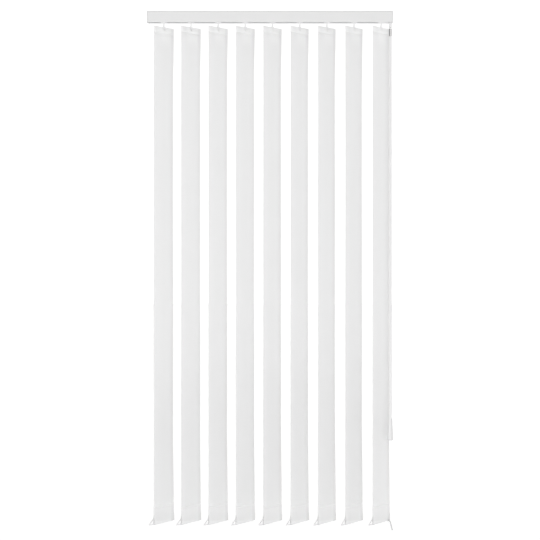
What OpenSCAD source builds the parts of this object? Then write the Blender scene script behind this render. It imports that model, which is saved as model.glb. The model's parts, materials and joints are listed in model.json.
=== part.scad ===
// Vertical blind with nine fabric vanes, drawn and turned by one wand.
// Origin at the middle of the head rail's top face: X along the rail, Y away from the room, Z up.
// All sizes in millimetres.

/* [Head rail] */
// Overall length of the rail, across both end caps
rail_length = 700; // [640:1:760]
// Depth of the rail, room side to window side
rail_depth = 40; // [40:0.5:46]
// Height of the rail
rail_height = 31; // [30:0.5:36]
// Wall of the extrusion
rail_wall = 1.4; // [1.2:0.1:1.8]
// Thickness of the two lips that the carriers run on
lip_wall = 1.6; // [1.2:0.1:2]
// Rounding of the rail's long edges
rail_corner = 1.6; // [1:0.1:2]
// Width of the slot between the lips
slot_width = 14; // [13:0.5:15]
// Distance from the top face down to the bracket grooves
groove_drop = 1.8; // [1.7:0.1:3]
// Height of each bracket groove
groove_height = 1.2; // [0.8:0.1:1.6]
// Depth of each bracket groove
groove_depth = 0.7; // [0.4:0.1:0.8]
// Bore of the two ports that take the end caps' pins
port_bore = 3; // [2.4:0.1:3.2]
// Wall round each port
port_wall = 1.1; // [0.9:0.1:1.3]

/* [End caps] */
// Thickness of an end cap's plate
cap_plate = 2.6; // [2.2:0.1:3]
// Width of the shadow groove between a cap and the rail
cap_reveal = 0.9; // [0.4:0.1:1.1]
// Depth of the shadow groove
reveal_depth = 0.7; // [0.3:0.1:0.9]
// Length of the pins that hold an end cap
cap_pin_length = 14; // [8:1:20]

/* [Tilt rod and gears] */
// Diameter of the fluted rod that turns every vane
rod_diameter = 6; // [5.6:0.1:6.2]
// Radius of each flute along the rod
flute_radius = 0.9; // [0.7:0.05:1]
// Flutes round the rod
flutes = 3; // [2:1:4]
// Diameter of the plain journals at the rod's ends
journal_diameter = 4; // [3:0.1:4.4]
// How far the journals reach into the end caps
journal_length = 1.4; // [1:0.1:1.8]
// Teeth on the pinion of each stem
pinion_teeth = 10; // [9:1:11]
// Tooth size: pitch diameter of the pinion over its teeth
gear_module = 1.2; // [1.15:0.01:1.22]
// Face width of the pinion
pinion_face = 4; // [3:0.5:5]
// Pitch radius of the worm
worm_radius = 5; // [4.9:0.05:5.1]
// Length of the worm
worm_length = 8; // [6:0.5:8.5]
// Depth of the gears' middle below the rail's top face
gear_drop = 16.5; // [15.5:0.5:17.5]

/* [Carriers] */
// Spacing of the carriers along the drawn rail
pitch = 77.4; // [70:0.1:78]
// Distance from the rail's right end to the last vane's stem
last_stem_inset = 33.2; // [33:0.1:45]
// Least distance from the rail's left end to the first vane's stem
first_stem_room = 30; // [28:1:45]
// Length of one carrier along the rail
carrier_length = 17; // [16.5:0.5:19]
// Height of a carrier's running plate
runner_height = 3.2; // [2.5:0.1:4]
// Front edge of a carrier's gear housing, in front of the stem
housing_front = 9.3; // [8.8:0.1:9.6]
// Height of the gear housing above the gears' middle
housing_rise = 6.5; // [6.2:0.1:8]
// Height of the spacer strips that set the vanes' spacing
strip_height = 6; // [4:0.5:6]
// Thickness of a spacer strip
strip_wall = 0.6; // [0.4:0.1:0.7]
// Spacing of the lanes in which the strips slide past each other
lane_pitch = 1.2; // [1.1:0.1:1.3]
// Wall round the window that the strips slide through
window_wall = 1.5; // [1.2:0.1:1.8]
// How far a strip reaches past the next carrier's stem
strip_reach = 6; // [2:1:8]

/* [Stems and hangers] */
// Diameter of a stem
stem_diameter = 5.2; // [4.6:0.1:5.4]
// Gap between the rail's underside and the top of a vane
stem_drop = 13; // [10:0.5:20]
// Thickness of a stem's hook plate
hook_wall = 1.2; // [1:0.1:1.5]
// Height of the hook's nose
nose_height = 2.2; // [1.8:0.1:2.6]
// Width of the hanger that sits in a vane's top pocket
hanger_width = 84; // [70:1:86]
// Height of a hanger
hanger_height = 11.5; // [11:0.5:14]
// Thickness of a hanger
hanger_wall = 1.6; // [1.2:0.1:1.8]
// Width of the window in a hanger
window_width = 9; // [8:0.5:10]
// Height of the window in a hanger
window_height = 5; // [4.5:0.1:5.5]
// Height of the hanger's bridge above its window
bridge_height = 2.4; // [2:0.1:3]

/* [Vanes] */
// Width of a vane
vane_width = 89; // [88:0.5:92]
// Length of a vane
vane_length = 1410; // [600:5:1800]
// Thickness of the vane fabric
fabric = 0.6; // [0.5:0.05:0.7]
// Angle of the vanes to the rail, 90 being square to it
vane_angle = 54; // [45:1:90]
// Height of the welded seams
seam_height = 2.4; // [1.5:0.1:4]
// Run over which a pocket's two layers spread apart above its seam
pocket_flare = 3; // [2:0.5:5]
// Width of the cut in the top edge that a stem's hook goes through
notch_width = 9.4; // [9.2:0.1:14]
// Rounding of a vane's bottom corners
vane_corner = 4; // [2:0.5:8]

/* [Bottom weights] */
// Height of a weight
weight_height = 43; // [30:1:60]
// Thickness of a weight
weight_wall = 2.2; // [1.6:0.1:2.4]
// Gap from a weight's ends to the vane's edges
weight_inset = 2; // [1:0.5:4]
// How far the chain clip reaches past the vane's near edge
clip_reach = 22; // [16:0.5:26]
// Height of the clip's upper arm above the vane's bottom, where it leaves the weight
clip_rise = 15; // [14:0.5:18]
// How far the clip's lower arm lies below the vane's bottom
clip_dip = 0.7; // [0.2:0.1:1.5]
// Width of the clip's arms
clip_arm = 3; // [2.4:0.1:3.4]
// Radius of the weight's corners
weight_corner = 3; // [2:0.5:5]
// How far the far end's chain lug reaches past the vane
lug_reach = 0.7; // [0.5:0.1:2]
// Height of the chain lug's tip above the vane's bottom
lug_height = 2.4; // [2.4:0.1:4]
// Slope of the chain lug, as rise over run
lug_slope = 0.4; // [0.3:0.05:0.6]

/* [Wand] */
// Distance from the last stem to the wand
wand_offset = 25.8; // [25:0.1:25.9]
// Diameter of the wand's joint below the rail
joint_diameter = 8.4; // [8:0.1:8.8]
// Length of the joint below the rail
joint_length = 19; // [17:0.5:24]
// Diameter of the joint's cross pin
joint_pin = 1.8; // [1.6:0.1:2.4]
// Diameter of the bail's wire
bail_wire = 2.4; // [1.8:0.1:2.5]
// Distance from the cross pin to the top of the wand
bail_drop = 24; // [20:0.5:30]
// How far the bail's legs go into the wand
bail_seat = 8; // [6:0.5:12]
// Diameter of the wand
wand_diameter = 8; // [7.8:0.1:8.4]
// Length of the wand below the bail, to the end of the grip
wand_length = 1152; // [500:1:1400]
// Length of the grip
grip_length = 62; // [40:1:80]
// Width of the grip at its top
grip_top = 11; // [10.5:0.1:12]
// Width of the grip at its bottom
grip_bottom = 16; // [14:0.1:17]
// Front to back size of the grip over its width
grip_flatness = 0.7; // [0.65:0.01:0.74]
// Depth of the socket that the wand sits in
grip_socket = 24; // [15:1:30]

/* [Chain] */
// Diameter of the chain's beads
chain_diameter = 4.6; // [3:0.1:5]

/* [Clearances] */
// Gap between parts that run past each other
running_gap = 0.3; // [0.2:0.05:0.4]
// Gap between a soft pocket and what is in it
pocket_gap = 0.2; // [0.15:0.05:0.3]
// Gap of parts that are pushed together
push_gap = 0.1; // [0.05:0.01:0.15]

/* [Hidden] */
$fn = 48;
eps = 0.01;
// How far a cut runs past what it cuts
over = 1;

// Heights, all measured from the rail's top face
lip_top = -rail_height + lip_wall;
gear_z = -gear_drop;
runner_z = lip_top + running_gap;
housing_top = gear_z + housing_rise;
vane_top = -rail_height - stem_drop;
vane_bottom = vane_top - vane_length;

// Places along the rail
extrusion_length = rail_length - 2 * cap_plate;
last_stem_x = rail_length / 2 - last_stem_inset;
vane_count = floor((rail_length - last_stem_inset - first_stem_room) / pitch) + 1;
function stem_x(i) = last_stem_x - (vane_count - i) * pitch;

// Rail section
inner_half = rail_depth / 2 - rail_wall;
port_radius = port_bore / 2 + port_wall;
port_sink = 0.4;
port_y = inner_half - port_radius + port_sink;
port_z = -rail_wall - port_radius + port_sink;

// Gears
pitch_radius = gear_module * pinion_teeth / 2;
thread_pitch = PI * gear_module;
tooth_step = 360 / pinion_teeth;
rod_y = pitch_radius + worm_radius;
gear_gap = 0.3;
addendum = 0.7;
pinion_tip = pitch_radius + addendum;
crest_extra = 0.2;
worm_crest = worm_radius + addendum + crest_extra;
pinion_root = rod_y - worm_crest - gear_gap;
worm_root = rod_y - pinion_tip - gear_gap;
tip_half = 0.5;
root_half = 1;
crest_half = 0.4;
valley_half = 0.7;
gear_room = 0.4;
well_radius = pinion_tip + gear_room;
trough_radius = worm_crest + gear_room;
trough_length = worm_length + 2 * running_gap;
rod_radius = rod_diameter / 2;
rod_gap = 0.2;
slices_per_turn = 10;
root_steps = 6;

// Carriers
runner_half = inner_half - running_gap;
neck_half = slot_width / 2 - running_gap;
lanes = 5;
lane_front = housing_front + window_wall + lane_pitch / 2;
window_front = lane_front + (lanes - 1) * lane_pitch + lane_pitch / 2;
strip_bottom = runner_z + runner_height + window_wall + pocket_gap;
strip_top = strip_bottom + strip_height;
frame_top = strip_top + pocket_gap + window_wall;
shaft_radius = stem_diameter / 2;
collar_ledge = 0.8;
collar_radius = shaft_radius + collar_ledge;
gearbox_wall = 0.7;
gearbox_end = wand_offset + collar_radius + running_gap + gearbox_wall;
gearbox_front = 8;

// Stems and hangers
stem_bore = stem_diameter / 2 + running_gap;
hook_front = hanger_wall / 2 + pocket_gap;
top_gap = hanger_wall / 2 + pocket_gap;
hanger_top = vane_top - fabric - top_gap;
bridge_bottom = hanger_top - bridge_height;
nose_top = bridge_bottom - pocket_gap;
hook_width = window_width - 2 * running_gap;
hanger_corner = 2;
notch_room = 0.8;
notch_depth = vane_top - nose_top + nose_height + notch_room;

// Vanes
bottom_gap = weight_wall / 2 + pocket_gap;
top_seam = hanger_top - hanger_height - pocket_gap - pocket_flare;
weight_bottom = vane_bottom + fabric + bottom_gap;
bottom_seam = weight_bottom + weight_height + pocket_gap + pocket_flare;
fold_steps = 6;
vane_cut = 10;

// Wand
wand_x = last_stem_x + wand_offset;
collar_height = 4;
collar_bottom = runner_z + runner_height;
joint_top = -rail_height - running_gap;
joint_bottom = joint_top - joint_length;
pin_rise = 0.6;
pin_inset = 0.5;
pin_z = joint_bottom + joint_diameter / 2 + pin_rise;
fork_gap = bail_wire + 2 * running_gap;
bail_radius = joint_pin / 2 + push_gap + bail_wire / 2;
fork_roof = pin_z + bail_radius + bail_wire / 2 + running_gap;
wand_top = pin_z - bail_drop;
wand_bottom = wand_top - wand_length;
grip_z = wand_bottom + grip_length;

// Free end of the chain, which lies on the last vane's room side:
// distance past the vane's far edge, and height above its bottom edge
chain_route = [
    [-15, 2.6], [-12, 2], [-9.2, 0.8], [-6.6, -0.9], [-4.2, -3.1], [-2, -6],
    [-0.2, -9.6], [1.4, -13.6], [3, -17.6], [4.7, -21.6], [6.4, -25.4], [7.9, -28.6]
];
chain_sides = 8;
chain_y = -bottom_gap - fabric - running_gap - chain_diameter / 2;

function numbered(name) = [for (i = [1 : vane_count]) str(name, "_", i)];

// Shapes that repeat

module rounded(width, height, radius) {
    square([width - 2 * radius, height], center = true);
    square([width, height - 2 * radius], center = true);
    for (sx = [-1, 1], sy = [-1, 1]) {
        translate([sx * (width / 2 - radius), sy * (height / 2 - radius)]) circle(radius);
    }
}

// A round-ended bar between two points
module bar(from, to, width) {
    run = to - from;
    translate(from) circle(width / 2);
    translate(to) circle(width / 2);
    translate(from) rotate(atan2(run[1], run[0])) translate([0, eps - width / 2]) square([norm(run), width - 2 * eps]);
}

// A profile drawn as depth and height, extruded along the rail
module along_rail(length) {
    rotate([90, 0, 90]) translate([0, 0, -length / 2]) linear_extrude(length) children();
}

// A profile drawn as width and height, extruded through a plate's thickness
module through_plate(thickness) {
    rotate([90, 0, 0]) translate([0, 0, -thickness / 2]) linear_extrude(thickness) children();
}

// The frame of one vane: X across it to the far edge, Y out of its window side
module at_vane(i) {
    translate([stem_x(i), 0, 0]) rotate(vane_angle) children();
}

module block(low, high) {
    translate(low) cube(high - low);
}

// Head rail and its ends

module rail_outline(inset = 0) {
    translate([0, -rail_height / 2])
        rounded(rail_depth - 2 * inset, rail_height - 2 * inset, rail_corner);
}

module rail_section() {
    difference() {
        rail_outline();
        translate([-inner_half, lip_top]) square([2 * inner_half, -rail_wall - lip_top]);
        translate([-slot_width / 2, -rail_height - over]) square([slot_width, lip_wall + 2 * over]);
        for (side = [-1, 1]) {
            translate([side * rail_depth / 2, -groove_drop - groove_height / 2])
                square([2 * groove_depth, groove_height], center = true);
        }
    }
    for (side = [-1, 1]) {
        translate([side * port_y, port_z]) difference() {
            circle(port_radius);
            circle(port_bore / 2);
        }
    }
}

module head_rail() {
    color("white") along_rail(extrusion_length) rail_section();
}

// One end cap, drawn at the right end and mirrored for the left
module end_cap(side) {
    color("white") mirror([side < 0 ? 1 : 0, 0, 0]) translate([extrusion_length / 2, 0, 0]) {
        difference() {
            union() {
                translate([(cap_plate + cap_reveal) / 2, 0, 0]) along_rail(cap_plate - cap_reveal) rail_outline();
                translate([cap_reveal / 2 + eps, 0, 0]) along_rail(cap_reveal + 2 * eps) rail_outline(reveal_depth);
            }
            translate([-over, rod_y, gear_z]) rotate([0, 90, 0])
                cylinder(h = journal_length + running_gap + over, r = journal_diameter / 2 + push_gap);
        }
        for (y = [-port_y, port_y]) {
            translate([-cap_pin_length, y, port_z]) rotate([0, 90, 0])
                cylinder(h = cap_pin_length + eps, r = port_bore / 2 - push_gap);
        }
    }
}

module end_cap_left() { end_cap(-1); }

module end_cap_right() { end_cap(1); }

// Tilt rod and worms

module rod_section(grow) {
    difference() {
        circle(rod_radius + grow);
        for (k = [0 : flutes - 1]) {
            rotate(k * 360 / flutes) translate([rod_radius, 0]) circle(flute_radius - grow);
        }
    }
}

module tilt_rod() {
    plain = extrusion_length - 2 * running_gap;
    color("silver") translate([0, rod_y, gear_z]) {
        along_rail(plain) rod_section(0);
        along_rail(extrusion_length + 2 * journal_length) circle(journal_diameter / 2);
    }
}

// Section of the worm: its root with one thread, as radius by angle
module worm_section() {
    crest_turn = 360 * crest_half / thread_pitch;
    flank_turn = 360 * valley_half / thread_pitch;
    crest = [for (a = [-1 : 0.5 : 1]) [worm_crest, a * crest_turn]];
    root = [for (k = [0 : root_steps]) [worm_root, flank_turn + k * (360 - 2 * flank_turn) / root_steps]];
    polygon([for (p = concat(crest, root)) p[0] * [cos(p[1]), sin(p[1])]]);
}

module worm(i) {
    turns = worm_length / thread_pitch;
    color("ivory") translate([stem_x(i), rod_y, gear_z]) difference() {
        rotate([90, 0, 90]) translate([0, 0, -worm_length / 2])
            linear_extrude(worm_length, twist = -360 * turns, slices = ceil(turns * slices_per_turn), segments = 1)
                rotate(180 - 180 * turns) worm_section();
        along_rail(worm_length + 2 * over) rod_section(rod_gap);
    }
}

// Carriers, each with the strip that spaces it from the next

module carrier_body(lead) {
    half = carrier_length / 2;
    long_end = lead ? gearbox_end : half;
    block([-half, -runner_half, runner_z], [long_end, runner_half, runner_z + runner_height]);
    block([-half, -neck_half, -rail_height + running_gap], [long_end, neck_half, runner_z + eps]);
    block([-half, -housing_front, runner_z], [half, runner_half, housing_top]);
    block([-half, -window_front - window_wall, runner_z], [half, -housing_front + eps, frame_top]);
    if (lead) {
        block([half - eps, -gearbox_front, runner_z], [gearbox_end, runner_half, housing_top]);
    }
}

module carrier_hollows(lead) {
    through = 4 * carrier_length;
    well_floor = gear_z - pinion_face / 2 - push_gap;
    translate([0, 0, well_floor]) cylinder(h = through, r = well_radius);
    translate([0, 0, -rail_height - over]) cylinder(h = rail_height, r = stem_bore);
    translate([0, rod_y, gear_z]) {
        along_rail(trough_length) circle(trough_radius);
        along_rail(through) circle(rod_radius + rod_gap);
    }
    block([-trough_length / 2, rod_y - trough_radius, gear_z],
        [trough_length / 2, rod_y + trough_radius, housing_top + over]);
    block([-through, -window_front, strip_bottom - pocket_gap],
        [through, -lane_front + lane_pitch / 2, strip_top + pocket_gap]);
    if (lead) {
        translate([wand_offset, 0, -rail_height - over]) cylinder(h = rail_height, r = stem_bore);
        translate([wand_offset, 0, collar_bottom])
            cylinder(h = collar_height + 2 * running_gap, r = collar_radius + running_gap);
    }
}

module spacer_strip(lane) {
    y = -lane_front - lane * lane_pitch;
    start = -carrier_length / 4;
    block([start, y - strip_wall / 2, strip_bottom], [pitch + strip_reach, y + strip_wall / 2, strip_top]);
    block([start, y - strip_wall / 2, strip_bottom - window_wall], [-start, y + strip_wall / 2, strip_top]);
}

module carrier(i) {
    lead = i == vane_count;
    color("whitesmoke") translate([stem_x(i), 0, 0]) {
        difference() {
            carrier_body(lead);
            carrier_hollows(lead);
        }
        if (!lead) spacer_strip(i % lanes);
    }
}

// Stems with their pinions and hooks, and the hangers that they carry

module pinion() {
    corners = [[pinion_root, -root_half], [pinion_tip, -tip_half], [pinion_tip, tip_half], [pinion_root, root_half]];
    points = [
        for (k = [0 : pinion_teeth - 1], c = corners)
            let (a = (k + 0.5) * tooth_step)
            [c[0] * cos(a) - c[1] * sin(a), c[0] * sin(a) + c[1] * cos(a)]
    ];
    translate([0, 0, gear_z - pinion_face / 2]) linear_extrude(pinion_face) polygon(points);
}

module hook() {
    half = hook_width / 2;
    back = hook_front + hook_wall;
    lip_rise = bridge_height / 2;
    block([-half, -back, nose_top - nose_height], [half, -hook_front, vane_top + hook_wall]);
    block([-half, -back, vane_top], [half, stem_diameter / 2, vane_top + hook_wall]);
    block([-half, -back, nose_top - nose_height], [half, back, nose_top]);
    block([-half, hook_front, nose_top - nose_height], [half, back, nose_top + lip_rise]);
}

module hanger() {
    middle = hanger_top - hanger_height / 2;
    window_middle = bridge_bottom - window_height / 2;
    through_plate(hanger_wall) difference() {
        translate([0, middle]) rounded(hanger_width, hanger_height, hanger_corner);
        translate([0, window_middle]) square([window_width, window_height], center = true);
    }
}

module stem(i) {
    color("white") {
        translate([stem_x(i), 0, 0]) {
            rotate(90) pinion();
            translate([0, 0, vane_top]) cylinder(h = gear_z + pinion_face / 2 - vane_top, d = stem_diameter);
        }
        at_vane(i) {
            hook();
            hanger();
        }
    }
}

// Vanes: one strip of fabric with a welded pocket at each end

// Half a turn of fabric or hollow, from the given angle round
function fold(radius, z, from) = [
    for (k = [0 : fold_steps])
        let (a = from + k * 180 / fold_steps)
        [radius * cos(a), z + radius * sin(a)]
];

function mirrored(points) = [for (k = [len(points) - 1 : -1 : 0]) [-points[k][0], points[k][1]]];

module vane_section() {
    top_fold = top_gap + fabric;
    bottom_fold = bottom_gap + fabric;
    right = [
        [bottom_fold, bottom_seam - pocket_flare],
        [fabric, bottom_seam],
        [fabric, bottom_seam + seam_height],
        [fabric / 2, bottom_seam + seam_height],
        [fabric / 2, top_seam - seam_height],
        [fabric, top_seam - seam_height],
        [fabric, top_seam],
        [top_fold, top_seam + pocket_flare]
    ];
    difference() {
        polygon(concat(
            right, fold(top_fold, vane_top - top_fold, 0),
            mirrored(right), fold(bottom_fold, vane_bottom + bottom_fold, 180)
        ));
        polygon(concat(
            [[0, top_seam], [top_gap, top_seam + pocket_flare]],
            fold(top_gap, vane_top - top_fold, 0), [[-top_gap, top_seam + pocket_flare]]
        ));
        polygon(concat(
            [[0, bottom_seam], [-bottom_gap, bottom_seam - pocket_flare]],
            fold(bottom_gap, vane_bottom + bottom_fold, 180), [[bottom_gap, bottom_seam - pocket_flare]]
        ));
    }
}

module vane_corner_cut() {
    difference() {
        translate([0, -over]) square([vane_corner + over, vane_corner + over]);
        translate([0, vane_corner]) circle(vane_corner);
    }
}

module vane(i) {
    color("whitesmoke") at_vane(i) difference() {
        along_rail(vane_width) vane_section();
        block([-notch_width / 2, -vane_cut / 2, vane_top - notch_depth],
            [notch_width / 2, vane_cut / 2, vane_top + over]);
        for (side = [0, 1]) {
            mirror([side, 0, 0]) through_plate(vane_cut)
                translate([vane_width / 2 - vane_corner, vane_bottom]) vane_corner_cut();
        }
    }
}

// Bottom weights, with a closed chain clip past the near edge and a lug at the far edge

module weight_outline() {
    near = -vane_width / 2;
    far = vane_width / 2;
    length = vane_width - 2 * weight_inset;
    arm = clip_arm / 2;
    root = near + clip_rise;
    low = weight_bottom + arm + pocket_gap;
    high = vane_bottom + clip_rise;
    dip = vane_bottom - clip_dip;
    tip = [near - clip_reach + arm, dip];
    lug_run = clip_rise;
    lug_tip = vane_bottom + lug_height;
    translate([0, weight_bottom + weight_height / 2]) rounded(length, weight_height, weight_corner);
    bar([root, high], [near, high], clip_arm);
    bar([near, high], tip, clip_arm);
    bar([root, low], [near, low], clip_arm);
    bar([near, low], [near - clip_arm, dip], clip_arm);
    bar([near - clip_arm, dip], tip, clip_arm);
    bar([far - lug_run, lug_tip + lug_slope * lug_run], [far + lug_reach, lug_tip], clip_arm);
}

module weight(i) {
    color("white") at_vane(i) through_plate(weight_wall) weight_outline();
}

// Wand: a forked joint that turns in the lead carrier, and the bail that swings on its pin

module wand_joint() {
    color("white") translate([wand_x, 0, 0]) {
        difference() {
            union() {
                translate([0, 0, joint_bottom + joint_diameter / 2])
                    cylinder(h = joint_top - joint_bottom - joint_diameter / 2, d = joint_diameter);
                translate([0, 0, joint_bottom + joint_diameter / 2]) sphere(d = joint_diameter);
                translate([0, 0, joint_top - eps])
                    cylinder(h = collar_bottom + running_gap - joint_top + 2 * eps, r = shaft_radius);
                translate([0, 0, collar_bottom + running_gap]) cylinder(h = collar_height, r = collar_radius);
            }
            block([-joint_diameter, -fork_gap / 2, joint_bottom - over], [joint_diameter, fork_gap / 2, fork_roof]);
            translate([0, joint_diameter, pin_z]) rotate([90, 0, 0])
                cylinder(h = 2 * joint_diameter, r = joint_pin / 2 + push_gap / 2);
        }
    }
}

module joint_pin() {
    length = joint_diameter - 2 * pin_inset;
    color("dimgray") translate([wand_x, length / 2, pin_z]) rotate([90, 0, 0]) cylinder(h = length, d = joint_pin);
}

module wand_bail() {
    color("dimgray") translate([wand_x, 0, pin_z]) {
        rotate([90, 0, 0]) rotate_extrude(angle = 180) translate([bail_radius, 0]) circle(d = bail_wire);
        for (x = [-bail_radius, bail_radius]) {
            translate([x, 0, -bail_drop - bail_seat]) cylinder(h = bail_drop + bail_seat, d = bail_wire);
        }
    }
}

module wand_rod() {
    color("white") translate([wand_x, 0, 0]) difference() {
        translate([0, 0, grip_z - grip_socket]) cylinder(h = wand_top - grip_z + grip_socket, d = wand_diameter);
        for (x = [-bail_radius, bail_radius]) {
            translate([x, 0, wand_top - bail_seat - push_gap])
                cylinder(h = bail_seat + over, r = bail_wire / 2 + push_gap / 2);
        }
    }
}

module wand_grip() {
    rim = 2;
    color("white") translate([wand_x, 0, wand_bottom]) difference() {
        scale([1, grip_flatness, 1]) hull() {
            translate([0, 0, grip_length - rim / 2]) cylinder(h = rim / 2, d = grip_top);
            translate([0, 0, rim]) cylinder(h = rim, d = grip_bottom);
            cylinder(h = rim, d = grip_bottom - 2 * rim);
        }
        translate([0, 0, grip_length - grip_socket - push_gap])
            cylinder(h = grip_socket + over, d = wand_diameter + push_gap);
    }
}

// Free end of the chain, swept along its route

module chain_end() {
    count = len(chain_route);
    points = [for (p = chain_route) [vane_width / 2 + p[0], chain_y, vane_bottom + p[1]]];
    function run(k) = points[min(k + 1, count - 1)] - points[max(k - 1, 0)];
    rings = [
        for (k = [0 : count - 1])
            let (along = k == 0 ? [1, 0, 0] : run(k) / norm(run(k)), across = [along[2], 0, -along[0]])
            for (s = [0 : chain_sides - 1])
                let (a = 360 * s / chain_sides)
                points[k] + chain_diameter / 2 * (cos(a) * across + sin(a) * [0, 1, 0])
    ];
    sides = [
        for (k = [0 : count - 2], s = [0 : chain_sides - 1])
            let (t = (s + 1) % chain_sides, low = k * chain_sides, high = low + chain_sides)
            [low + s, low + t, high + t, high + s]
    ];
    ends = [
        [for (s = [chain_sides - 1 : -1 : 0]) s],
        [for (s = [0 : chain_sides - 1]) (count - 1) * chain_sides + s]
    ];
    color("white") at_vane(vane_count) polyhedron(points = rings, faces = concat(sides, ends));
}

head_rail();
end_cap_left();
end_cap_right();
tilt_rod();
for (i = [1 : vane_count]) {
    carrier(i);
    worm(i);
    stem(i);
    vane(i);
    weight(i);
}
wand_joint();
joint_pin();
wand_bail();
wand_rod();
wand_grip();
chain_end();
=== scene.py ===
# %% [markdown]
# # A vertical blind, dressed for a studio picture
# Nine strips of white cloth hang from a slim rail and turn together like the pages of a book.
# The rail, hooks, weights and wand come in as solids at their real size. This lesson gives each
# of them a finish, and it makes the two soft things anew: the cloth vanes and the end of the
# bottom chain. Everything is in metres: X runs along the rail, Y away from the room, Z up.

# %% Load the solids
import json
import math

import bmesh
import bpy
import numpy as np
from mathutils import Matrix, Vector


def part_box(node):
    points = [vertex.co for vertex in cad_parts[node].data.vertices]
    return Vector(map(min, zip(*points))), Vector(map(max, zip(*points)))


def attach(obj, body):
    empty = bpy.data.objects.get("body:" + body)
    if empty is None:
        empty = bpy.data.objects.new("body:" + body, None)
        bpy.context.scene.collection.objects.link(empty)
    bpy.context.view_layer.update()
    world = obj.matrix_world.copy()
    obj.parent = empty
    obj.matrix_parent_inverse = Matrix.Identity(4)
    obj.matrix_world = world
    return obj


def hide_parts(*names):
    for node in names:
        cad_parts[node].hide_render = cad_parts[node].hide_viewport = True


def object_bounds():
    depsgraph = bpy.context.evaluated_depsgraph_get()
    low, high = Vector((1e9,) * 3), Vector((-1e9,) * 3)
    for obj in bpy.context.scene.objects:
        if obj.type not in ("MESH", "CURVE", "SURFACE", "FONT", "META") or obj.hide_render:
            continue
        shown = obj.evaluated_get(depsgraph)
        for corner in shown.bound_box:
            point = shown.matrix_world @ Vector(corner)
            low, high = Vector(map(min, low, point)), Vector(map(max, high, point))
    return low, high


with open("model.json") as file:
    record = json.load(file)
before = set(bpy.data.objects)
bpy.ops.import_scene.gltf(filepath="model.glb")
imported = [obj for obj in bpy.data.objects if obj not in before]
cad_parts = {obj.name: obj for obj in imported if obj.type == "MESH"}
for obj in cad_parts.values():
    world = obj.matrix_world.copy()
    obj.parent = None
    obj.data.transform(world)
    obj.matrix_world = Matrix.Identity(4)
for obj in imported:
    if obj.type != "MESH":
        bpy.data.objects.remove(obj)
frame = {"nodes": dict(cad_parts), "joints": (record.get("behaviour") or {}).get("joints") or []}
cad_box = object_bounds()
nodes = frame["nodes"]
tilt_joints = [j for j in frame["joints"] if j["name"].startswith("tilt_")]
vane_count = len(tilt_joints)
print("solids:", len(nodes), "vanes:", vane_count, "box:", [round(v, 3) for v in cad_box[1] - cad_box[0]])

# %% [markdown]
# ## Camera
# The picture is a level, straight view of the whole blind. Upright edges stay upright in it, so the
# camera isn't tipped. The lower edge of each vane climbs to the right, because its far side is
# further away, and the rail shows a thin strip of its underside. Both fix how far off the camera
# stands: about five metres, with a long lens.

# %% Level camera with a long lens
PICTURE = 540
SENSOR = 36
CAMERA_DISTANCE = 5.0
PIXELS_PER_METRE = 352.4
EYE_HEIGHT = -0.7355

rail_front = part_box("head_rail")[0].y
reach = CAMERA_DISTANCE + rail_front
lens = PIXELS_PER_METRE * reach / PICTURE * SENSOR
camera_data = bpy.data.cameras.new("camera")
camera_data.sensor_width = SENSOR
camera_data.lens = lens
camera = bpy.data.objects.new("camera", camera_data)
camera.location = (0, -CAMERA_DISTANCE, EYE_HEIGHT)
camera.rotation_euler = (math.radians(90), 0, 0)
bpy.context.scene.collection.objects.link(camera)
bpy.context.scene.camera = camera
print("lens:", round(lens, 1), "mm at", CAMERA_DISTANCE, "m")

# %% [markdown]
# ## The frame of one vane
# Each vane hangs from a stem and stands at an angle to the rail. Working in the vane's own frame
# keeps its cloth simple: one number across the strip, one out of its face, one for height. A small
# function then turns such a point into the room's frame about its stem.

# %% From a vane's own frame to the room
MM = 0.001
VANE_ANGLE = math.radians(54)
ACROSS = np.array([math.cos(VANE_ANGLE), math.sin(VANE_ANGLE), 0])
OUTWARD = np.array([-math.sin(VANE_ANGLE), math.cos(VANE_ANGLE), 0])
UP = np.array([0, 0, 1])
stems = [np.array([j["pos_m"][0], j["pos_m"][1], 0]) for j in tilt_joints]


def in_room(number, across, outward, height):
    """Points of one vane's frame, given as three arrays, in the room's frame."""
    across, outward, height = np.broadcast_arrays(across, outward, height)
    return (stems[number] + across[..., None] * ACROSS + outward[..., None] * OUTWARD
            + height[..., None] * UP)


vane_low, vane_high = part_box("vane_5")
vane_top = vane_high.z
vane_bottom = vane_low.z
print("vanes hang from", round(vane_top, 4), "to", round(vane_bottom, 4))

# %% [markdown]
# ## The free end of the chain
# A bead chain links the bottoms of such vanes. Here only its free end shows: it lies on the last vane's
# lower hem, runs over the far corner and hangs. A plain tube would do from afar, but beads on a thin
# link are what a hand would feel, so each bead is a small ball and short pins join them. The route
# repeats the solid's own points, and the beads are spaced along it by length.

# %% Route of the chain
CHAIN_OUTWARD = -4.5 * MM
VANE_HALF = 44.5 * MM
CHAIN_ROUTE = [
    (-15, 2.6), (-12, 2), (-9.2, 0.8), (-6.6, -0.9), (-4.2, -3.1), (-2, -6),
    (-0.2, -9.6), (1.4, -13.6), (3, -17.6), (4.7, -21.6), (6.4, -25.4), (7.9, -28.6),
]
route = np.array(CHAIN_ROUTE) * MM
chain_points = in_room(vane_count - 1, VANE_HALF + route[:, 0], CHAIN_OUTWARD, vane_bottom + route[:, 1])
chain_steps = np.linalg.norm(np.diff(chain_points, axis=0), axis=1)
chain_run = np.concatenate([[0], np.cumsum(chain_steps)])
chain_length = float(chain_run[-1])
print("chain end:", round(chain_length / MM, 1), "mm long")


# %% Helpers for new pieces
def along_chain(distance):
    """The point of the chain's line at a length from its start."""
    return Vector([float(np.interp(distance, chain_run, chain_points[:, k])) for k in range(3)])


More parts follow.
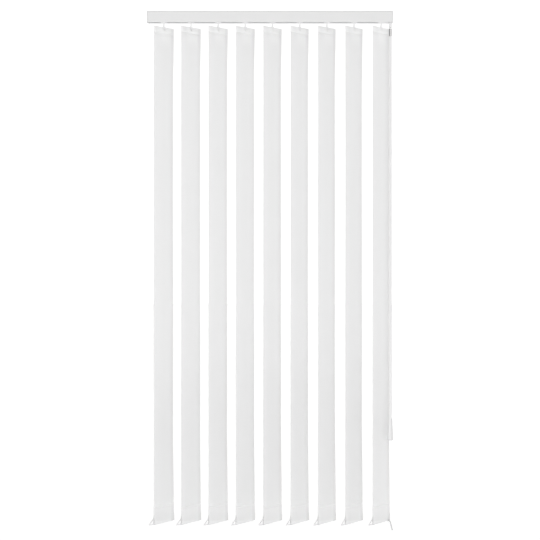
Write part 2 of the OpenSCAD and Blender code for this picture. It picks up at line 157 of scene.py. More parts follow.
def new_piece(name, bm):
    """A mesh object from a bmesh, in the scene."""
    mesh = bpy.data.meshes.new(name)
    bm.normal_update()
    bm.to_mesh(mesh)
    bm.free()
    piece = bpy.data.objects.new(name, mesh)
    bpy.context.scene.collection.objects.link(piece)
    return piece


def smooth(piece, degrees):
    """Smooth shading, with edges sharper than an angle kept crisp."""
    piece.data.shade_smooth()
    piece.data.set_sharp_from_angle(angle=math.radians(degrees))


print("chain ends at", [round(v, 3) for v in along_chain(chain_length)])

# %% Beads and links
CHAIN_DIAMETER = 4.6 * MM
BEAD_PITCH = 4.5 * MM
BEAD_SIDES = 20
BEAD_RINGS = 12
LINK_RADIUS = 1.6 * MM
LINK_SIDES = 12
CHAIN_CRISP = 40

bead_count = int((chain_length - CHAIN_DIAMETER) // BEAD_PITCH) + 1
bead_start = (chain_length - (bead_count - 1) * BEAD_PITCH) / 2
bm = bmesh.new()
bead_places = [along_chain(bead_start + k * BEAD_PITCH) for k in range(bead_count)]
for middle in bead_places:
    ball = bmesh.ops.create_uvsphere(bm, u_segments=BEAD_SIDES, v_segments=BEAD_RINGS,
                                     radius=CHAIN_DIAMETER / 2)
    bmesh.ops.translate(bm, verts=ball["verts"], vec=middle)
link_ends = [along_chain(0)] + bead_places + [along_chain(chain_length)]
for start, end in zip(link_ends, link_ends[1:]):
    pin = bmesh.ops.create_cone(bm, cap_ends=True, segments=LINK_SIDES, radius1=LINK_RADIUS,
                                radius2=LINK_RADIUS, depth=(end - start).length)
    turn = Vector((0, 0, 1)).rotation_difference(end - start).to_matrix()
    bmesh.ops.rotate(bm, verts=pin["verts"], cent=(0, 0, 0), matrix=turn)
    bmesh.ops.translate(bm, verts=pin["verts"], vec=(start + end) / 2)
chain = new_piece("chain_beads", bm)
smooth(chain, CHAIN_CRISP)
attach(chain, f"vane_{vane_count}")
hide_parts("chain_end")
print("beads:", bead_count)

# %% [markdown]
# ## Shape of a vane
# A vane is one strip of cloth. Its top end is folded over a stiff hanger and its bottom end round a
# flat weight, and each fold is welded shut along a seam. It could be a flat plane with a picture of a
# seam, but the two folds are what gives the vane its stiff ends and slack middle. So the strip's
# path is laid out as a maker folds it: from the end of the top hem, over the hanger, down the face,
# round the weight and up to the end of the bottom hem.

# %% Where the seams and folds lie
CLOTH = 0.6 * MM
FLARE = 3 * MM
SLACK = 0.2 * MM
NOTCH_HALF = 4.3 * MM
NOTCH_DEPTH = 6.5 * MM
HANGER_HALF = 0.8 * MM
WEIGHT_HALF = 1.1 * MM

hanger_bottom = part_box("stem_5")[0].z
weight_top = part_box("weight_5")[1].z
top_seam = hanger_bottom - SLACK - FLARE
bottom_seam = weight_top + SLACK + FLARE
top_radius = HANGER_HALF + SLACK + CLOTH / 2
bottom_radius = WEIGHT_HALF + SLACK + CLOTH / 2
notch_floor = vane_top - NOTCH_DEPTH
print("seams at", round(top_seam, 4), "and", round(bottom_seam, 4))

# %% Path of the folded strip
SEAM = 2.4 * MM
SEAM_DENT = 0.16 * MM
DENT_MARGIN = 0.15 * SEAM
FLARE_ROWS = 5
FOLD_STEPS = 8
FACE_ROWS = 130
HEM_ROWS = 10
HEM_LOW_ROWS = (5 * MM, 4 * MM, 3 * MM)


def ease(t):
    """A soft step from 0 to 1."""
    t = np.clip(t, 0, 1)
    return t * t * (3 - 2 * t)


def flare(start, end):
    """Rows that ease from one depth and height to another."""
    t = np.linspace(0, 1, FLARE_ROWS)
    return [(start[0] + (end[0] - start[0]) * ease(k), start[1] + (end[1] - start[1]) * k) for k in t]


def fold(radius, middle, turn_from, turn_to):
    """Rows round a fold, as depth and height."""
    angles = np.radians(np.linspace(turn_from, turn_to, FOLD_STEPS + 1))
    return [(radius * math.cos(a), middle + radius * math.sin(a)) for a in angles]


def straight(depth, heights):
    """Rows at one depth."""
    return [(depth, z) for z in heights]


def folded_strip():
    """Depth and height of each row of cloth, from the top hem's end to the bottom hem's end."""
    top_middle = vane_top - CLOTH / 2 - top_radius
    bottom_middle = vane_bottom + CLOTH / 2 + bottom_radius
    low_rows = [vane_bottom + rise for rise in HEM_LOW_ROWS]
    hem_rows = list(np.linspace(bottom_seam - 2 * FLARE, low_rows[0], HEM_ROWS)) + low_rows[1:]
    rows = straight(CLOTH, [top_seam - SEAM])
    rows += flare((CLOTH, top_seam), (top_radius, top_seam + FLARE))
    rows += straight(top_radius, [notch_floor])
    rows += fold(top_radius, top_middle, 0, 180)
    rows += straight(-top_radius, [notch_floor])
    rows += flare((-top_radius, top_seam + FLARE), (0, top_seam))
    rows += straight(SEAM_DENT, [top_seam - DENT_MARGIN, top_seam - SEAM + DENT_MARGIN])
    rows += straight(0, np.linspace(top_seam - SEAM, bottom_seam + SEAM, FACE_ROWS))
    rows += straight(SEAM_DENT, [bottom_seam + SEAM - DENT_MARGIN, bottom_seam + DENT_MARGIN])
    rows += flare((0, bottom_seam), (-bottom_radius, bottom_seam - FLARE))
    rows += straight(-bottom_radius, hem_rows)
    rows += fold(bottom_radius, bottom_middle, 180, 360)
    rows += straight(bottom_radius, hem_rows[::-1])
    rows += flare((bottom_radius, bottom_seam - FLARE), (CLOTH, bottom_seam))
    rows += straight(CLOTH, [bottom_seam + SEAM])
    return np.array(rows)


strip = folded_strip()
strip_run = np.concatenate([[0], np.cumsum(np.linalg.norm(np.diff(strip, axis=0), axis=1))])

# %% [markdown]
# ## How a vane hangs
# Between its stiff ends the cloth keeps a soft crease of the roll that it was cut from. In the
# picture the last quarter of each strip turns away and shows as a darker band, and the strip looks
# narrower half-way down than at its hanger. It could be left flat and shaded, but then it would look
# flat from the side. So the face has a slope that changes across it, and adding up the slope gives the
# offset, which fades into both pockets. A slow ripple, different on each vane, keeps them from being
# copies.

# %% Curl and ripple of the cloth
# The darker far band comes partly from this crease under the lights and partly from painted shade in the
# cloth's colour, set in the cloth's tone below.
CREASE = 20 * MM
CREASE_RUN = 6 * MM
CREASE_SLOPE = 0.10
CREASE_SAMPLES = 400
EDGE = 30 * MM
EDGE_RUN = 14 * MM
EDGE_SLOPE = 0.08
SWELL_SLOPE = 0.03
TOP_FADE = 0.16
BOTTOM_FADE = 0.22
RIPPLE = 0.35 * MM
RIPPLE_DOWN = 9.0
RIPPLE_ACROSS = 40.0
RIPPLE_PHASE = 1.7
RIPPLE_SHIFT = 0.6


def slackness(height):
    """0 in the pockets and 1 where the cloth hangs free."""
    return ease((top_seam - height) / TOP_FADE) * ease((height - bottom_seam) / BOTTOM_FADE)


crease_places = np.linspace(-VANE_HALF, VANE_HALF, CREASE_SAMPLES)
crease_slope = CREASE_SLOPE * ease((crease_places - CREASE) / CREASE_RUN)
crease_slope += EDGE_SLOPE * ease((crease_places - EDGE) / EDGE_RUN)
crease_slope -= SWELL_SLOPE * ease(crease_places / CREASE) * ease((CREASE - crease_places) / CREASE_RUN)
crease_offset = np.cumsum(crease_slope) * (crease_places[1] - crease_places[0])


def curl(number, across, height):
    """Offset of the cloth out of its flat plane."""
    phase = RIPPLE_PHASE * number
    down = np.sin(RIPPLE_DOWN * height + phase)
    wave = down * np.sin(RIPPLE_ACROSS * across + RIPPLE_SHIFT * phase)
    return slackness(height) * (np.interp(across, crease_places, crease_offset) + RIPPLE * wave)


print("far edge stands off by", round(crease_offset[-1] / MM, 2), "mm")

# %% [markdown]
# ### Ends of the pockets
# Past the ends of the hanger and the weight the two layers of a pocket lie pressed together, except low
# down, where the weight's chain clip comes out. Below the weight the hem is empty and sags a little at
# its near end, so the lower edge isn't quite level. Straight pockets would be simpler, but these small
# losses of squareness are what makes cloth look like cloth.

# %% Corners, hem and pressed edges
BOTTOM_CORNER = 4 * MM
HEM_DROP = 4 * MM
HEM_RUN = 12 * MM
PRESS_RUN = 2 * MM
CLIP_TOP = 18 * MM
CLIP_ROOM = 6 * MM


def half_width(height):
    """Half the strip's width, drawn in round its bottom corners."""
    rise = np.clip(BOTTOM_CORNER - (height - vane_bottom), 0, BOTTOM_CORNER)
    return VANE_HALF - (BOTTOM_CORNER - np.sqrt(BOTTOM_CORNER ** 2 - rise ** 2))


def hem(across, height):
    """How far the empty hem below the weight hangs lower, most at the near edge."""
    share = 0.5 - across / (2 * VANE_HALF)
    return HEM_DROP * share * ease((vane_bottom + HEM_RUN - height) / HEM_RUN)


def pressed(across, height, depth):
    """Depth of a pocket's layers, which close at the strip's edges."""
    edge = ease((np.abs(across) - VANE_HALF + PRESS_RUN) / PRESS_RUN)
    free = ease((height - vane_bottom - CLIP_TOP) / CLIP_ROOM)
    closed = np.clip(depth, -CLOTH / 2, CLOTH / 2)
    in_pocket = (height > top_seam) | (height < bottom_seam)
    return np.where(in_pocket, depth + (closed - depth) * edge * free, depth)


print("hem hangs", HEM_DROP / MM, "mm lower at the near edge")

# %% Columns across the strip
EDGE_COLUMNS = 4
NEAR_COLUMNS = 11
NOTCH_COLUMNS = 5
FAR_COLUMNS = 18

inner_half = VANE_HALF - PRESS_RUN
columns = np.concatenate([
    np.linspace(-VANE_HALF, -inner_half, EDGE_COLUMNS)[:-1],
    np.linspace(-inner_half, -NOTCH_HALF, NEAR_COLUMNS),
    np.linspace(-NOTCH_HALF, NOTCH_HALF, NOTCH_COLUMNS)[1:-1],
    np.linspace(NOTCH_HALF, inner_half, FAR_COLUMNS),
    np.linspace(inner_half, VANE_HALF, EDGE_COLUMNS)[1:],
])
print("columns:", len(columns))

# %% [markdown]
# ## Making the vanes
# With rows and columns known, a vane is a grid of points. Faces inside the notch are left out, so the
# stem's hook has its opening, and a Solidify modifier gives the cloth its thickness. The grid's two
# lengths are kept as texture coordinates in metres, so threads run true along the strip and
# across it, round the folds too.

# %% One strip of cloth
TINY = 1e-6


def cut_cloth(number):
    """A grid of cloth for one vane, folded, notched and hung."""
    depth = strip[:, 0][:, None]
    height = strip[:, 1][:, None]
    across = columns[None, :] * half_width(height) / VANE_HALF
    outward = pressed(across, height, depth) + curl(number, across, height)
    places = in_room(number, across, outward, height - hem(across, height))
    bm = bmesh.new()
    lengths = bm.loops.layers.uv.new("threads")
    grid = [[bm.verts.new(p) for p in row] for row in places]
    for r in range(len(strip) - 1):
        in_notch = min(strip[r, 1], strip[r + 1, 1]) > notch_floor - TINY
        for c in range(len(columns) - 1):
            if in_notch and abs(columns[c] + columns[c + 1]) / 2 < NOTCH_HALF:
                continue
            corners = [(r, c), (r + 1, c), (r + 1, c + 1), (r, c + 1)]
            face = bm.faces.new([grid[a][b] for a, b in corners])
            for loop, (a, b) in zip(face.loops, corners):
                loop[lengths].uv = (columns[b], strip_run[a])
    loose = [v for v in bm.verts if not v.link_faces]
    bmesh.ops.delete(bm, geom=loose, context="VERTS")
    return new_piece(f"cloth_{number + 1}", bm)


print("grid of a vane:", len(strip), "rows by", len(columns), "columns")

# %% All the vanes
CLOTH_CRISP = 50
CLOTH_FILL = 0.98

vanes = []
for number in range(vane_count):
    cloth = cut_cloth(number)
    smooth(cloth, CLOTH_CRISP)
    body = cloth.modifiers.new("cloth thickness", "SOLIDIFY")
    body.thickness = CLOTH * CLOTH_FILL
    body.offset = 0
    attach(cloth, f"vane_{number + 1}")
    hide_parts(f"vane_{number + 1}")
    vanes.append(cloth)
print("vanes made:", len(vanes), "faces each:", len(vanes[0].data.polygons))

# %% [markdown]
# ## Finishes
# Nearly everything here is white, so the finishes differ by how they take light: satin paint on the
# rail, moulded plastic on the hooks, a glossy wand, dull cloth, dark wire. Each finish starts as one
# shader with its even values set on it. Detail comes from noise in the piece's own space: a slight
# change of tone, and a fine bump for orange peel, mould texture or drawn lines.

# %% A finish, its coordinates and its noise
NOISE_DETAIL = 3.0


def new_finish(name, grey, roughness, **even):
    """A material whose even values are set on its shader."""
    finish = bpy.data.materials.new(name)
    finish.use_nodes = True
    shader = finish.node_tree.nodes["Principled BSDF"]
    shader.inputs["Base Color"].default_value = (grey, grey, grey, 1)
    shader.inputs["Roughness"].default_value = roughness
    for socket, value in even.items():
        shader.inputs[socket.replace("_", " ")].default_value = value
    return finish, finish.node_tree, shader


def place(tree, source, stretch):
    """Coordinates of the piece, in metres, stretched along its axes."""
    coordinates = tree.nodes.new("ShaderNodeTexCoord")
    mapping = tree.nodes.new("ShaderNodeMapping")
    mapping.inputs["Scale"].default_value = stretch
    tree.links.new(coordinates.outputs[source], mapping.inputs["Vector"])
    return mapping.outputs["Vector"]


def noise(tree, vector, scale):
    """Soft noise with a scale in waves to the metre."""
    texture = tree.nodes.new("ShaderNodeTexNoise")
    texture.inputs["Scale"].default_value = scale
    texture.inputs["Detail"].default_value = NOISE_DETAIL
    tree.links.new(vector, texture.inputs["Vector"])
    return texture.outputs["Fac"]


print("noise detail:", NOISE_DETAIL)

# %% From noise to tone, gloss and bump
NOISE_LOW = 0.3
NOISE_HIGH = 0.7


def tones(tree, socket, pattern, stops):
    """A colour by a pattern's value, through two stops of place and grey."""
    ramp = tree.nodes.new("ShaderNodeValToRGB")
    for element, (position, grey) in zip(ramp.color_ramp.elements, stops):
        element.position = position
        element.color = (grey, grey, grey, 1)
    tree.links.new(pattern, ramp.inputs["Fac"])
    tree.links.new(ramp.outputs["Color"], socket)


def tone(tree, shader, pattern, grey, drift):
    """Base colour that wanders a little about one grey."""
    stops = [(NOISE_LOW, grey - drift), (NOISE_HIGH, grey + drift)]
    tones(tree, shader.inputs["Base Color"], pattern, stops)


def dull(tree, shader, pattern, low, high):
    """Roughness that wanders between two values."""
    spread = tree.nodes.new("ShaderNodeMapRange")
    spread.inputs["To Min"].default_value = low
    spread.inputs["To Max"].default_value = high
    tree.links.new(pattern, spread.inputs["Value"])
    tree.links.new(spread.outputs["Result"], shader.inputs["Roughness"])


def emboss(tree, shader, pattern, depth, strength):
    """A bump of a depth in metres."""
    bump = tree.nodes.new("ShaderNodeBump")
    bump.inputs["Distance"].default_value = depth
    bump.inputs["Strength"].default_value = strength
    tree.links.new(pattern, bump.inputs["Height"])
    tree.links.new(bump.outputs["Normal"], shader.inputs["Normal"])


print("noise is read from", NOISE_LOW, "to", NOISE_HIGH)

# %% [markdown]
# ### Powder-coated rail
# The rail is an extrusion with a baked white coat. It could be one even grey, but such a coat is satin
# and has a very fine orange peel, a little stretched along the rail by the die lines under it.

# %% Rail coat
COAT_GREY = 0.722
COAT_DRIFT = 0.006
COAT_GLOSS = (0.36, 0.48)
COAT_STRETCH = (0.2, 1, 1)
COAT_CLOUDS = 60
COAT_PATCHES = 240
COAT_PEEL = 900
PEEL_DEPTH = 0.04 * MM
PEEL_STRENGTH = 0.35


def rail_coat():
    """Satin white paint with fine orange peel."""
    finish, tree, shader = new_finish("rail coat", COAT_GREY, sum(COAT_GLOSS) / 2)
    vector = place(tree, "Object", COAT_STRETCH)
    tone(tree, shader, noise(tree, vector, COAT_CLOUDS), COAT_GREY, COAT_DRIFT)
    dull(tree, shader, noise(tree, vector, COAT_PATCHES), *COAT_GLOSS)
    emboss(tree, shader, noise(tree, vector, COAT_PEEL), PEEL_DEPTH, PEEL_STRENGTH)
    return finish


finishes = {"head_rail": rail_coat()}
print("rail grey:", COAT_GREY)

# %% [markdown]
# ### Moulded plastics
# Caps, carriers, stems, weights and the wand are injection moulded. They share one recipe: a satin
# surface with a fine spark-eroded grain. Only tone, gloss and grain change from piece to piece, so a
# table of numbers and one function are enough. Each row gives the start of the piece's name, the
# finish, its grey, its least and most roughness and its grain in waves to the metre.

# %% Moulded plastic
MOULD_DRIFT = 0.012
MOULD_CLOUDS = 90
MOULD_PATCHES = 400
GRAIN_DEPTH = 0.03 * MM
GRAIN_STRENGTH = 0.3
MOULDED = [
    ("end_cap", "cap plastic", 0.727, 0.38, 0.5, 1400),
    ("carrier", "carrier plastic", 0.84, 0.4, 0.55, 1200),
    ("worm", "worm plastic", 0.66, 0.3, 0.42, 1600),
    ("stem", "stem plastic", 0.86, 0.34, 0.46, 1500),
    ("weight", "weight plastic", 0.80, 0.4, 0.52, 1300),
    ("wand_joint", "joint plastic", 0.76, 0.25, 0.35, 1600),
    ("wand_rod", "wand plastic", 0.76, 0.16, 0.24, 500),
    ("wand_grip", "grip plastic", 0.72, 0.2, 0.3, 900),
    ("chain", "chain plastic", 0.56, 0.3, 0.42, 1800),
]


def moulded(name, grey, low, high, grain):
    """Satin plastic with a fine grain."""
    finish, tree, shader = new_finish(name, grey, (low + high) / 2)
    vector = place(tree, "Object", (1, 1, 1))
    tone(tree, shader, noise(tree, vector, MOULD_CLOUDS), grey, MOULD_DRIFT)
    dull(tree, shader, noise(tree, vector, MOULD_PATCHES), low, high)
    emboss(tree, shader, noise(tree, vector, grain), GRAIN_DEPTH, GRAIN_STRENGTH)
    return finish


for key, *recipe in MOULDED:
    finishes[key] = moulded(*recipe)
print("moulded finishes:", len(MOULDED))

# %% [markdown]
# ### Drawn metal
# The tilt rod is drawn aluminium, the joint's pin is steel and the bail a bent steel wire. Drawing
# leaves fine lines along the metal, so the noise is stretched along one axis: X for the rod, Y for the
# pin, Z for the wire. Each row gives the piece, the finish, its grey, that stretch and its least and
# most roughness.

# %% Metals
LINE_DRIFT = 0.04
LINE_SCALE = 1500
LINE_PATCHES = 700
LINE_DEPTH = 0.02 * MM
LINE_STRENGTH = 0.4
DRAWN = [
    ("tilt_rod", "drawn aluminium", 0.72, (0.02, 1, 1), 0.28, 0.42),
    ("joint_pin", "pin steel", 0.22, (1, 0.05, 1), 0.3, 0.45),
    ("wand_bail", "bail steel", 0.08, (1, 1, 0.05), 0.3, 0.45),
]


def drawn_metal(name, grey, stretch, low, high):
    """Bare metal with fine lines along it."""
    finish, tree, shader = new_finish(name, grey, (low + high) / 2, Metallic=1.0)
    vector = place(tree, "Object", stretch)
    lines = noise(tree, vector, LINE_SCALE)
    tone(tree, shader, lines, grey, LINE_DRIFT)
    dull(tree, shader, noise(tree, vector, LINE_PATCHES), low, high)
    emboss(tree, shader, lines, LINE_DEPTH, LINE_STRENGTH)
    return finish


for key, *recipe in DRAWN:
    finishes[key] = drawn_metal(*recipe)
print("metal finishes:", len(DRAWN))

# %% [markdown]
# ### Cloth
# The vanes are a dull woven polyester. Two sine waves, one along the strip and one across it,
# multiply into the hills and hollows of a plain weave. A picture of cloth would do the same, but waves
# stay sharp at any distance. A few helpers for maths on patterns come first.

# %% Maths on patterns
def with_number(tree, operation, pattern, number):
    """One maths step on a pattern and a number."""
    node = tree.nodes.new("ShaderNodeMath")
    node.operation = operation
    node.inputs[1].default_value = number
    tree.links.new(pattern, node.inputs[0])
    return node.outputs["Value"]


def combine(tree, operation, first, second):
    """One maths step on two patterns."""
    node = tree.nodes.new("ShaderNodeMath")
    node.operation = operation
    tree.links.new(first, node.inputs[0])
    tree.links.new(second, node.inputs[1])
    return node.outputs["Value"]


def step(tree, pattern, full, none):
    """1 where a pattern is on the first number's side, 0 past the second, eased between."""
    spread = tree.nodes.new("ShaderNodeMapRange")
    spread.interpolation_type = "SMOOTHSTEP"
    spread.inputs["From Min"].default_value = full
    spread.inputs["From Max"].default_value = none
    spread.inputs["To Min"].default_value = 1
    spread.inputs["To Max"].default_value = 0
    tree.links.new(pattern, spread.inputs["Value"])
    return spread.outputs["Result"]


def away_from(tree, pattern, number):
    """How far a pattern's value is from a number."""
    return with_number(tree, "ABSOLUTE", with_number(tree, "SUBTRACT", pattern, number), 0)


print("maths helpers:", [helper.__name__ for helper in (with_number, combine, step, away_from)])

# %% Threads and yarn
THREAD = 0.7 * MM
WAVE_NODE_FACTOR = 20
WARP_STRETCH = (900, 6, 1)
WEFT_STRETCH = (9, 700, 1)


def threads(tree, vector, direction):
    """Sine bands one thread wide."""
    wave = tree.nodes.new("ShaderNodeTexWave")
    wave.wave_type = "BANDS"
    wave.bands_direction = direction
    wave.wave_profile = "SIN"
    wave.inputs["Scale"].default_value = 2 * math.pi / (WAVE_NODE_FACTOR * 2 * THREAD)
    tree.links.new(vector, wave.inputs["Vector"])
    return with_number(tree, "SUBTRACT", wave.outputs["Fac"], 0.5)


def yarn(tree):
    """Faint streaks of uneven yarn, both ways of the cloth."""
    warp = noise(tree, place(tree, "UV", WARP_STRETCH), 1)
    weft = noise(tree, place(tree, "UV", WEFT_STRETCH), 1)
    return combine(tree, "ADD", warp, weft)


print("threads across a vane:", round(2 * VANE_HALF / THREAD))

# %% [markdown]
# ### Painted light and shade on the strip's places
# Some places of each vane have light or shade painted into the cloth's colour. The far edge, where the
# strip turns away, the lower third and the lower hem get painted shade. The top pocket, the lower weld
# and the wedge of empty hem below the weight get painted light, as if light came through them, and
# the top weld a touch of painted shade. Each place is read off the strip's own lengths and added to
# the yarn, so each painted light or shade is one number.

# %% Places on the strip
# Where the painted light and painted shade lie on each vane, as lengths across and along the strip.
PAINTED_FAR_START = 26 * MM
PAINTED_FAR_FULL = 39 * MM
LOW_FROM = -0.85
LOW_FULL = -1.2
WEDGE_MIDDLE = 6.5 * MM
WEDGE_SLOPE = 0.085
WEDGE_BLUR = 0.6 * MM
LIFT_NEAR = -32 * MM
LIFT_NEAR_FULL = 0
LIFT_FAR_FULL = 20 * MM
LIFT_FAR = 36 * MM
LIFT_RUN = 50 * MM
WELD_HALF = 2.6 * MM
WELD_BLUR = 1 * MM

fold_run = float(strip_run[np.argmin(strip[:, 1])])
seam_row = int(np.argmax(strip[:, 0] == 0))


def run_at(height):
    """Length along the strip at a height of its face."""
    return float(strip_run[seam_row] + strip[seam_row, 1] - height)


def wedge_place(tree, across, from_fold):
    """Mask for painted light on the empty hem below the weight, higher at the near edge."""
    line = combine(tree, "ADD", from_fold, with_number(tree, "MULTIPLY", across, WEDGE_SLOPE))
    return step(tree, line, WEDGE_MIDDLE - WEDGE_BLUR, WEDGE_MIDDLE + WEDGE_BLUR)


def lift_place(tree, across, along):
    """Mask for painted light on the top pocket and a little below it, away from both edges."""
    near = step(tree, across, LIFT_NEAR_FULL, LIFT_NEAR)
    middle = combine(tree, "MULTIPLY", near, step(tree, across, LIFT_FAR_FULL, LIFT_FAR))
    top = step(tree, along, run_at(top_seam), run_at(top_seam - LIFT_RUN))
    return combine(tree, "MULTIPLY", middle, top)


def weld_place(tree, along, height):
    """A band along a weld, for painted shade at the top weld and painted light at the lower one."""
    off_weld = away_from(tree, along, run_at(height))
    return step(tree, off_weld, WELD_HALF - WELD_BLUR, WELD_HALF + WELD_BLUR)


print("lower fold at", round(fold_run, 4), "m along the strip")

# %% Tone of the cloth, with painted light and shade
# After the plain tone and the yarn's share, the amounts are painted shade where negative and painted
# light where positive.
PLAIN = 0.6
YARN_SHARE = 0.15
FAR_PAINTED_SHADE = -0.12
LOW_PAINTED_SHADE = -0.096
HEM_PAINTED_SHADE = -0.17
HEM_FAR_PAINTED_SHADE = -0.2
WEDGE_PAINTED_LIGHT = 0.138
TOP_POCKET_PAINTED_LIGHT = 0.204
TOP_WELD_PAINTED_SHADE = -0.04
LOW_WELD_PAINTED_LIGHT = 0.144


def cloth_pattern(tree, vector):
    """Uneven yarn about the plain tone, with painted light and painted shade on the strip's own places
    added.
    """
    lengths = tree.nodes.new("ShaderNodeSeparateXYZ")
    tree.links.new(vector, lengths.inputs["Vector"])
    across = lengths.outputs["X"]
    along = lengths.outputs["Y"]
    from_fold = away_from(tree, along, fold_run)
    # Masks for painted shade: the far edge band, and the lower hem, darker towards the fold.
    far = step(tree, across, PAINTED_FAR_FULL, PAINTED_FAR_START)
    hem_painted_shade_mask = step(tree, from_fold, 0, fold_run - run_at(bottom_seam))
    painted_light_and_shade = [
        (far, FAR_PAINTED_SHADE),
        (step(tree, along, run_at(LOW_FULL), run_at(LOW_FROM)), LOW_PAINTED_SHADE),
        (hem_painted_shade_mask, HEM_PAINTED_SHADE),
        (combine(tree, "MULTIPLY", hem_painted_shade_mask, far), HEM_FAR_PAINTED_SHADE),
        (wedge_place(tree, across, from_fold), WEDGE_PAINTED_LIGHT),
        (lift_place(tree, across, along), TOP_POCKET_PAINTED_LIGHT),
        (weld_place(tree, along, top_seam), TOP_WELD_PAINTED_SHADE),
        (weld_place(tree, along, bottom_seam - FLARE / 2), LOW_WELD_PAINTED_LIGHT),
    ]
    streaks = with_number(tree, "MULTIPLY", yarn(tree), YARN_SHARE / 2)
    total = with_number(tree, "ADD", streaks, PLAIN - YARN_SHARE / 2)
    for pattern, shade in painted_light_and_shade:
        total = combine(tree, "ADD", total, with_number(tree, "MULTIPLY", pattern, shade))
    return total


print("plain cloth lies at", PLAIN, "of the scale of tones")

# %% Woven cloth
CLOTH_TONES = [(0, 0.685), (1, 0.975)]
CLOTH_GREY = 0.8
CLOTH_ROUGHNESS = 0.85
SHEEN = 0.1
SHEEN_ROUGHNESS = 0.5
WEAVE_DEPTH = 0.25 * MM
WEAVE_STRENGTH = 0.5


def woven_cloth():
    """Dull plain weave with a slight sheen, and painted light and shade in its colour."""
    finish, tree, shader = new_finish("woven cloth", CLOTH_GREY, CLOTH_ROUGHNESS, Sheen_Weight=SHEEN,
                                      Sheen_Roughness=SHEEN_ROUGHNESS)
    vector = place(tree, "UV", (1, 1, 1))
    weave = combine(tree, "MULTIPLY", threads(tree, vector, "X"), threads(tree, vector, "Y"))
    tones(tree, shader.inputs["Base Color"], cloth_pattern(tree, vector), CLOTH_TONES)
    emboss(tree, shader, weave, WEAVE_DEPTH, WEAVE_STRENGTH)
    return finish


finishes["cloth"] = woven_cloth()
print("cloth nodes:", len(finishes["cloth"].node_tree.nodes))

# %% [markdown]
# ### Putting the finishes on
# Pieces that are alike have names that start alike, so each takes the finish whose key starts its name.
# The solids of the vanes and the chain are left out, because the soft pieces stand in their place.

# %% Give every piece its finish
def finish_for(name):
    """The finish whose key starts the piece's name."""
    return next(finish for key, finish in finishes.items() if name.startswith(key))


for piece in list(nodes.values()) + vanes + [chain]:
    if piece.name == "chain_end" or piece.name.startswith("vane_"):
        continue
    piece.data.materials.clear()
    piece.data.materials.append(finish_for(piece.name))
print("finishes:", len(finishes))

# %% [markdown]
# ## Studio
# The picture is on plain white. A pale floor lies below the blind, and a white surround lights it from
# all sides, so nothing falls dark. The floor could be left out, but it throws light up at the undersides.
# It glows a little of itself, so that it stays as white as the surround.

# %% Floor
FLOOR_DROP = 0.12
FLOOR_HALF = 40.0
FLOOR_GREY = 0.955
FLOOR_DRIFT = 0.005
FLOOR_CLOUDS = 3
FLOOR_ROUGHNESS = 0.9
FLOOR_GLOW = 0.31


def floor_finish():
    """A dull, nearly even white."""
    finish, tree, shader = new_finish("pale floor", FLOOR_GREY, FLOOR_ROUGHNESS)
    vector = place(tree, "Object", (1, 1, 1))
    tone(tree, shader, noise(tree, vector, FLOOR_CLOUDS), FLOOR_GREY, FLOOR_DRIFT)
    shader.inputs["Emission Color"].default_value = (1, 1, 1, 1)
    shader.inputs["Emission Strength"].default_value = FLOOR_GLOW
    return finish


floor_height = cad_box[0].z - FLOOR_DROP
bm = bmesh.new()
bmesh.ops.create_grid(bm, x_segments=2, y_segments=2, size=FLOOR_HALF)
bmesh.ops.translate(bm, verts=bm.verts, vec=(0, 0, floor_height))
floor = new_piece("floor", bm)
floor.data.materials.append(floor_finish())
print("floor at", round(floor_height, 3))

# %% [markdown]
# ### Surround
# Square to the vanes the surround is dimmer, as with a grey screen hung on each side, above eye level.
# A vane sees its neighbour's shaded back there, so the screens make the bare near edges match. A third
# screen at the front left is behind the faces of the open vanes. It takes light mostly off closed vanes,
# which would be lost in the white without it. The screens could be boards in the scene, but as part of
# the world they stay out of every view.

# %% Bearings in the surround
surround = bpy.data.worlds.new("surround")
surround.use_nodes = True
tree = surround.node_tree
direction = tree.nodes.new("ShaderNodeTexCoord").outputs["Generated"]
level = tree.nodes.new("ShaderNodeVectorMath")
level.operation = "MULTIPLY"
level.inputs[1].default_value = (1, 1, 0)
bearing = tree.nodes.new("ShaderNodeVectorMath")
bearing.operation = "NORMALIZE"
tree.links.new(direction, level.inputs[0])
tree.links.new(level.outputs["Vector"], bearing.inputs[0])


def facing(towards):
    """How squarely a bearing in the surround lies towards a direction."""
    product = tree.nodes.new("ShaderNodeVectorMath")
    product.operation = "DOT_PRODUCT"
    product.inputs[1].default_value = towards
    tree.links.new(bearing.outputs["Vector"], product.inputs[0])
    return product.outputs["Value"]


print("vanes face", [round(v, 2) for v in -OUTWARD])

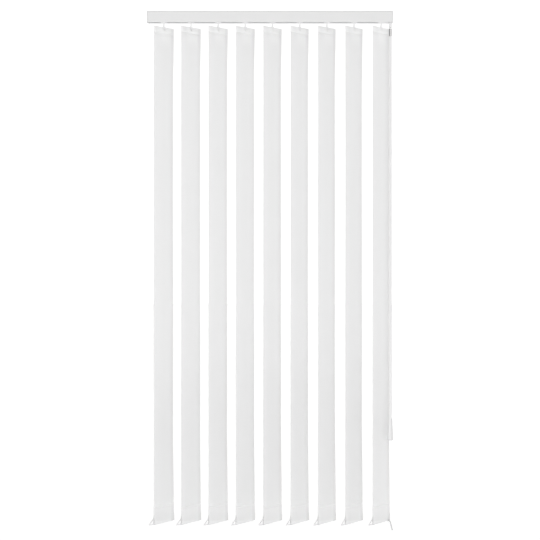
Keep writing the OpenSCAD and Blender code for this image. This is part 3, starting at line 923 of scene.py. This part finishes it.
# %% White surround with three screens
SURROUND = 1.13
SCREEN = 0.38
SCREEN_FOOT = 0.16
SCREEN_FULL = 0.34
SHADE_FROM = 0.72
SHADE_FULL = 0.92
FRONT_LEFT = OUTWARD * (1, -1, 1)

rise = tree.nodes.new("ShaderNodeSeparateXYZ")
tree.links.new(direction, rise.inputs["Vector"])
both_sides = away_from(tree, facing(OUTWARD), 0)
squareness = combine(tree, "MAXIMUM", both_sides, facing(FRONT_LEFT))
beside = step(tree, squareness, SHADE_FROM, SHADE_FULL)
beneath = step(tree, rise.outputs["Z"], SCREEN_FOOT, SCREEN_FULL)
background = tree.nodes["Background"]
background.inputs["Strength"].default_value = SURROUND
tones(tree, background.inputs["Color"], combine(tree, "MAXIMUM", beside, beneath), [(0, SCREEN), (1, 1)])
bpy.context.scene.world = surround
print("surround:", SURROUND, "screens:", SCREEN)

# %% [markdown]
# ### Flag and foot light
# The last vane has no neighbour to shade it, so it would come out brighter than the rest. A studio puts
# a flag there. Here it is a spare strip of the same cloth, which the camera doesn't see. A long soft
# light near the floor in front reaches into the slot below the rail, which would be too dark without it.

# %% Flag beside the last vane
FLAG_PITCH = 1.7

flag = bpy.data.objects.new("flag", vanes[-1].data)
flag.location = FLAG_PITCH * (stems[-1] - stems[-2])
flag.visible_camera = False
bpy.context.scene.collection.objects.link(flag)
print("flag stands off by", round(flag.location.x, 3))

# %% Foot light
FOOT_PLACE = (-0.3, -3.5)
FOOT_SIZE = (2.4, 0.3)
FOOT_POWER = 22

lamp = bpy.data.lights.new("foot light", "AREA")
lamp.shape = "RECTANGLE"
lamp.size, lamp.size_y = FOOT_SIZE
lamp.energy = FOOT_POWER
foot_light = bpy.data.objects.new("foot light", lamp)
foot_light.location = (*FOOT_PLACE, floor_height + FOOT_SIZE[1])
foot_light.rotation_euler = foot_light.location.to_track_quat("Z", "Y").to_euler()
foot_light.visible_camera = False
bpy.context.scene.collection.objects.link(foot_light)
bpy.context.scene.view_settings.view_transform = "Standard"
print("foot light at", [round(v, 2) for v in foot_light.location])
